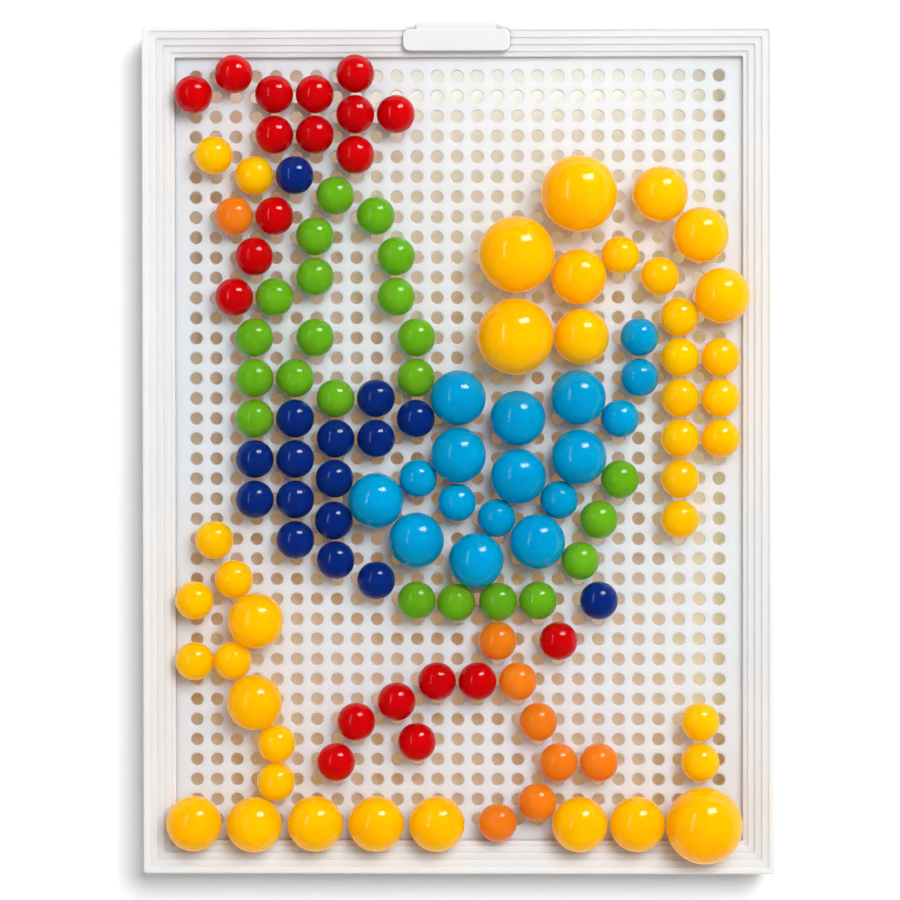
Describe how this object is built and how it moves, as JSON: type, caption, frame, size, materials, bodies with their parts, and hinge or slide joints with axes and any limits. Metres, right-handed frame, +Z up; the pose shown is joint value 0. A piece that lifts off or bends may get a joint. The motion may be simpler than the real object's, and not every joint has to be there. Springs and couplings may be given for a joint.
{
  "type": "peg mosaic board toy",
  "caption": "White peg-mosaic tray with a stepped rim and a perforated panel, holding ball-headed plastic pegs in three sizes that lift out and make a rooster.",
  "frame": {"origin": "centre of the footprint, tray and clip lip together, on the surface that the tray stands on", "axes": "+Z up out of the panel, +Y towards the rim clip (the top of the picture), +X to the right of the picture"},
  "size_m": [0.1722, 0.232, 0.0348],
  "materials": {
    "board_white": "satin white polyethylene, slightly translucent",
    "panel_white": "satin white polyethylene, slightly translucent",
    "clip_white": "smooth satin white plastic",
    "peg_red": "polished moulded plastic",
    "peg_orange": "polished moulded plastic",
    "peg_yellow": "polished moulded plastic",
    "peg_green": "polished moulded plastic",
    "peg_navy": "polished moulded plastic",
    "peg_sky": "polished moulded plastic"
  },
  "bodies": {
    "board": {"tray_frame": "board_white", "peg_panel": "panel_white", "rim_clip": "clip_white"},
    "peg_red_comb_front": {"peg_red_comb_front": "peg_red"},
    "peg_red_comb_crown": {"peg_red_comb_crown": "peg_red"},
    "peg_red_comb_base": {"peg_red_comb_base": "peg_red"},
    "peg_red_wattle": {"peg_red_wattle": "peg_red"},
    "peg_red_rump": {"peg_red_rump": "peg_red"},
    "peg_red_leg": {"peg_red_leg": "peg_red"},
    "peg_red_foot": {"peg_red_foot": "peg_red"},
    "peg_orange_cheek": {"peg_orange_cheek": "peg_orange"},
    "peg_orange_thigh": {"peg_orange_thigh": "peg_orange"},
    "peg_orange_shin": {"peg_orange_shin": "peg_orange"},
    "peg_yellow_beak": {"peg_yellow_beak": "peg_yellow"},
    "peg_yellow_tail_root": {"peg_yellow_tail_root": "peg_yellow"},
    "peg_yellow_tail_inner": {"peg_yellow_tail_inner": "peg_yellow"},
    "peg_yellow_tail_outer": {"peg_yellow_tail_outer": "peg_yellow"},
    "peg_yellow_tail_tip": {"peg_yellow_tail_tip": "peg_yellow"},
    "peg_yellow_left_leaves": {"peg_yellow_left_leaves": "peg_yellow"},
    "peg_yellow_left_stem": {"peg_yellow_left_stem": "peg_yellow"},
    "peg_yellow_right_stem": {"peg_yellow_right_stem": "peg_yellow"},
    "peg_navy_eye": {"peg_navy_eye": "peg_navy"},
    "peg_navy_breast_top": {"peg_navy_breast_top": "peg_navy"},
    "peg_navy_breast_front": {"peg_navy_breast_front": "peg_navy"},
    "peg_navy_breast_middle": {"peg_navy_breast_middle": "peg_navy"},
    "peg_navy_breast_low": {"peg_navy_breast_low": "peg_navy"},
    "peg_navy_vent": {"peg_navy_vent": "peg_navy"},
    "peg_green_neck_back": {"peg_green_neck_back": "peg_green"},
    "peg_green_neck_front": {"peg_green_neck_front": "peg_green"},
    "peg_green_neck_low": {"peg_green_neck_low": "peg_green"},
    "peg_green_back": {"peg_green_back": "peg_green"},
    "peg_green_belly": {"peg_green_belly": "peg_green"},
    "peg_green_rump": {"peg_green_rump": "peg_green"},
    "peg_sky_tail_root": {"peg_sky_tail_root": "peg_sky"},
    "peg_sky_wing_low": {"peg_sky_wing_low": "peg_sky"},
    "peg_sky_wing_leaning": {"peg_sky_wing_leaning": "peg_sky"},
    "peg_yellow_medium_tail_crest": {"peg_yellow_medium_tail_crest": "peg_yellow"},
    "peg_yellow_medium_tail_edge": {"peg_yellow_medium_tail_edge": "peg_yellow"},
    "peg_yellow_medium_tail_heart": {"peg_yellow_medium_tail_heart": "peg_yellow"},
    "peg_yellow_medium_tail_leaning": {"peg_yellow_medium_tail_leaning": "peg_yellow"},
    "peg_yellow_medium_left_plant": {"peg_yellow_medium_left_plant": "peg_yellow"},
    "peg_yellow_medium_ground_left": {"peg_yellow_medium_ground_left": "peg_yellow"},
    "peg_yellow_medium_ground_middle": {"peg_yellow_medium_ground_middle": "peg_yellow"},
    "peg_yellow_medium_ground_right": {"peg_yellow_medium_ground_right": "peg_yellow"},
    "peg_yellow_medium_ground_leaning": {"peg_yellow_medium_ground_leaning": "peg_yellow"},
    "peg_sky_medium_1": {"peg_sky_medium_1": "peg_sky"},
    "peg_sky_medium_2": {"peg_sky_medium_2": "peg_sky"},
    "peg_sky_medium_3": {"peg_sky_medium_3": "peg_sky"},
    "peg_sky_medium_4": {"peg_sky_medium_4": "peg_sky"},
    "peg_sky_medium_5": {"peg_sky_medium_5": "peg_sky"},
    "peg_sky_medium_6": {"peg_sky_medium_6": "peg_sky"},
    "peg_sky_medium_7": {"peg_sky_medium_7": "peg_sky"},
    "peg_sky_medium_8": {"peg_sky_medium_8": "peg_sky"},
    "peg_sky_medium_9": {"peg_sky_medium_9": "peg_sky"},
    "peg_sky_medium_10": {"peg_sky_medium_10": "peg_sky"},
    "peg_yellow_large_tail_top": {"peg_yellow_large_tail_top": "peg_yellow"},
    "peg_yellow_large_tail_upper": {"peg_yellow_large_tail_upper": "peg_yellow"},
    "peg_yellow_large_tail_lower": {"peg_yellow_large_tail_lower": "peg_yellow"},
    "peg_yellow_large_ground": {"peg_yellow_large_ground": "peg_yellow"}
  },
  "joints": [
    {"name": "pull_red_comb_front", "type": "slide", "parent": "board", "child": "peg_red_comb_front", "axis": [0, 0, 1], "range_m": [0, 0.025]},
    {"name": "pull_red_comb_crown", "type": "slide", "parent": "board", "child": "peg_red_comb_crown", "axis": [0, 0, 1], "range_m": [0, 0.025]},
    {"name": "pull_red_comb_base", "type": "slide", "parent": "board", "child": "peg_red_comb_base", "axis": [0, 0, 1], "range_m": [0, 0.025]},
    {"name": "pull_red_wattle", "type": "slide", "parent": "board", "child": "peg_red_wattle", "axis": [0, 0, 1], "range_m": [0, 0.025]},
    {"name": "pull_red_rump", "type": "slide", "parent": "board", "child": "peg_red_rump", "axis": [0, 0, 1], "range_m": [0, 0.025]},
    {"name": "pull_red_leg", "type": "slide", "parent": "board", "child": "peg_red_leg", "axis": [0, 0, 1], "range_m": [0, 0.025]},
    {"name": "pull_red_foot", "type": "slide", "parent": "board", "child": "peg_red_foot", "axis": [0, 0, 1], "range_m": [0, 0.025]},
    {"name": "pull_orange_cheek", "type": "slide", "parent": "board", "child": "peg_orange_cheek", "axis": [0, 0, 1], "range_m": [0, 0.025]},
    {"name": "pull_orange_thigh", "type": "slide", "parent": "board", "child": "peg_orange_thigh", "axis": [0, 0, 1], "range_m": [0, 0.025]},
    {"name": "pull_orange_shin", "type": "slide", "parent": "board", "child": "peg_orange_shin", "axis": [0, 0, 1], "range_m": [0, 0.025]},
    {"name": "pull_yellow_beak", "type": "slide", "parent": "board", "child": "peg_yellow_beak", "axis": [0, 0, 1], "range_m": [0, 0.025]},
    {"name": "pull_yellow_tail_root", "type": "slide", "parent": "board", "child": "peg_yellow_tail_root", "axis": [0, 0, 1], "range_m": [0, 0.025]},
    {"name": "pull_yellow_tail_inner", "type": "slide", "parent": "board", "child": "peg_yellow_tail_inner", "axis": [0, 0, 1], "range_m": [0, 0.025]},
    {"name": "pull_yellow_tail_outer", "type": "slide", "parent": "board", "child": "peg_yellow_tail_outer", "axis": [0, 0, 1], "range_m": [0, 0.025]},
    {"name": "pull_yellow_tail_tip", "type": "slide", "parent": "board", "child": "peg_yellow_tail_tip", "axis": [0, 0, 1], "range_m": [0, 0.025]},
    {"name": "pull_yellow_left_leaves", "type": "slide", "parent": "board", "child": "peg_yellow_left_leaves", "axis": [0, 0, 1], "range_m": [0, 0.025]},
    {"name": "pull_yellow_left_stem", "type": "slide", "parent": "board", "child": "peg_yellow_left_stem", "axis": [0, 0, 1], "range_m": [0, 0.025]},
    {"name": "pull_yellow_right_stem", "type": "slide", "parent": "board", "child": "peg_yellow_right_stem", "axis": [0, 0, 1], "range_m": [0, 0.025]},
    {"name": "pull_navy_eye", "type": "slide", "parent": "board", "child": "peg_navy_eye", "axis": [0, 0, 1], "range_m": [0, 0.025]},
    {"name": "pull_navy_breast_top", "type": "slide", "parent": "board", "child": "peg_navy_breast_top", "axis": [0, 0, 1], "range_m": [0, 0.025]},
    {"name": "pull_navy_breast_front", "type": "slide", "parent": "board", "child": "peg_navy_breast_front", "axis": [0, 0, 1], "range_m": [0, 0.025]},
    {"name": "pull_navy_breast_middle", "type": "slide", "parent": "board", "child": "peg_navy_breast_middle", "axis": [0, 0, 1], "range_m": [0, 0.025]},
    {"name": "pull_navy_breast_low", "type": "slide", "parent": "board", "child": "peg_navy_breast_low", "axis": [0, 0, 1], "range_m": [0, 0.025]},
    {"name": "pull_navy_vent", "type": "slide", "parent": "board", "child": "peg_navy_vent", "axis": [0, 0, 1], "range_m": [0, 0.025]},
    {"name": "pull_green_neck_back", "type": "slide", "parent": "board", "child": "peg_green_neck_back", "axis": [0, 0, 1], "range_m": [0, 0.025]},
    {"name": "pull_green_neck_front", "type": "slide", "parent": "board", "child": "peg_green_neck_front", "axis": [0, 0, 1], "range_m": [0, 0.025]},
    {"name": "pull_green_neck_low", "type": "slide", "parent": "board", "child": "peg_green_neck_low", "axis": [0, 0, 1], "range_m": [0, 0.025]},
    {"name": "pull_green_back", "type": "slide", "parent": "board", "child": "peg_green_back", "axis": [0, 0, 1], "range_m": [0, 0.025]},
    {"name": "pull_green_belly", "type": "slide", "parent": "board", "child": "peg_green_belly", "axis": [0, 0, 1], "range_m": [0, 0.025]},
    {"name": "pull_green_rump", "type": "slide", "parent": "board", "child": "peg_green_rump", "axis": [0, 0, 1], "range_m": [0, 0.025]},
    {"name": "pull_sky_tail_root", "type": "slide", "parent": "board", "child": "peg_sky_tail_root", "axis": [0, 0, 1], "range_m": [0, 0.025]},
    {"name": "pull_sky_wing_low", "type": "slide", "parent": "board", "child": "peg_sky_wing_low", "axis": [0, 0, 1], "range_m": [0, 0.025]},
    {"name": "pull_sky_wing_leaning", "type": "slide", "parent": "board", "child": "peg_sky_wing_leaning", "axis": [-0.0018, -0.0973, 0.9953], "range_m": [0, 0.025]},
    {"name": "pull_yellow_medium_tail_crest", "type": "slide", "parent": "board", "child": "peg_yellow_medium_tail_crest", "axis": [0, 0, 1], "range_m": [0, 0.025]},
    {"name": "pull_yellow_medium_tail_edge", "type": "slide", "parent": "board", "child": "peg_yellow_medium_tail_edge", "axis": [0, 0, 1], "range_m": [0, 0.025]},
    {"name": "pull_yellow_medium_tail_heart", "type": "slide", "parent": "board", "child": "peg_yellow_medium_tail_heart", "axis": [0, 0, 1], "range_m": [0, 0.025]},
    {"name": "pull_yellow_medium_tail_leaning", "type": "slide", "parent": "board", "child": "peg_yellow_medium_tail_leaning", "axis": [0, 0, 1], "range_m": [0, 0.025]},
    {"name": "pull_yellow_medium_left_plant", "type": "slide", "parent": "board", "child": "peg_yellow_medium_left_plant", "axis": [0, 0, 1], "range_m": [0, 0.025]},
    {"name": "pull_yellow_medium_ground_left", "type": "slide", "parent": "board", "child": "peg_yellow_medium_ground_left", "axis": [0, 0, 1], "range_m": [0, 0.025]},
    {"name": "pull_yellow_medium_ground_middle", "type": "slide", "parent": "board", "child": "peg_yellow_medium_ground_middle", "axis": [0, 0, 1], "range_m": [0, 0.025]},
    {"name": "pull_yellow_medium_ground_right", "type": "slide", "parent": "board", "child": "peg_yellow_medium_ground_right", "axis": [0, 0, 1], "range_m": [0, 0.025]},
    {"name": "pull_yellow_medium_ground_leaning", "type": "slide", "parent": "board", "child": "peg_yellow_medium_ground_leaning", "axis": [0, 0, 1], "range_m": [0, 0.025]},
    {"name": "pull_sky_medium_1", "type": "slide", "parent": "board", "child": "peg_sky_medium_1", "axis": [0, 0, 1], "range_m": [0, 0.025]},
    {"name": "pull_sky_medium_2", "type": "slide", "parent": "board", "child": "peg_sky_medium_2", "axis": [0, 0, 1], "range_m": [0, 0.025]},
    {"name": "pull_sky_medium_3", "type": "slide", "parent": "board", "child": "peg_sky_medium_3", "axis": [0, 0, 1], "range_m": [0, 0.025]},
    {"name": "pull_sky_medium_4", "type": "slide", "parent": "board", "child": "peg_sky_medium_4", "axis": [0.0375, 0.097, 0.9946], "range_m": [0, 0.012]},
    {"name": "pull_sky_medium_5", "type": "slide", "parent": "board", "child": "peg_sky_medium_5", "axis": [0, 0, 1], "range_m": [0, 0.025]},
    {"name": "pull_sky_medium_6", "type": "slide", "parent": "board", "child": "peg_sky_medium_6", "axis": [0, 0, 1], "range_m": [0, 0.025]},
    {"name": "pull_sky_medium_7", "type": "slide", "parent": "board", "child": "peg_sky_medium_7", "axis": [0, 0, 1], "range_m": [0, 0.025]},
    {"name": "pull_sky_medium_8", "type": "slide", "parent": "board", "child": "peg_sky_medium_8", "axis": [0, 0, 1], "range_m": [0, 0.025]},
    {"name": "pull_sky_medium_9", "type": "slide", "parent": "board", "child": "peg_sky_medium_9", "axis": [0, 0, 1], "range_m": [0, 0.025]},
    {"name": "pull_sky_medium_10", "type": "slide", "parent": "board", "child": "peg_sky_medium_10", "axis": [0, 0, 1], "range_m": [0, 0.025]},
    {"name": "pull_yellow_large_tail_top", "type": "slide", "parent": "board", "child": "peg_yellow_large_tail_top", "axis": [0, 0, 1], "range_m": [0, 0.025]},
    {"name": "pull_yellow_large_tail_upper", "type": "slide", "parent": "board", "child": "peg_yellow_large_tail_upper", "axis": [0, 0, 1], "range_m": [0, 0.025]},
    {"name": "pull_yellow_large_tail_lower", "type": "slide", "parent": "board", "child": "peg_yellow_large_tail_lower", "axis": [0, 0, 1], "range_m": [0, 0.025]},
    {"name": "pull_yellow_large_ground", "type": "slide", "parent": "board", "child": "peg_yellow_large_ground", "axis": [0, 0, 1], "range_m": [0, 0.025]}
  ]
}
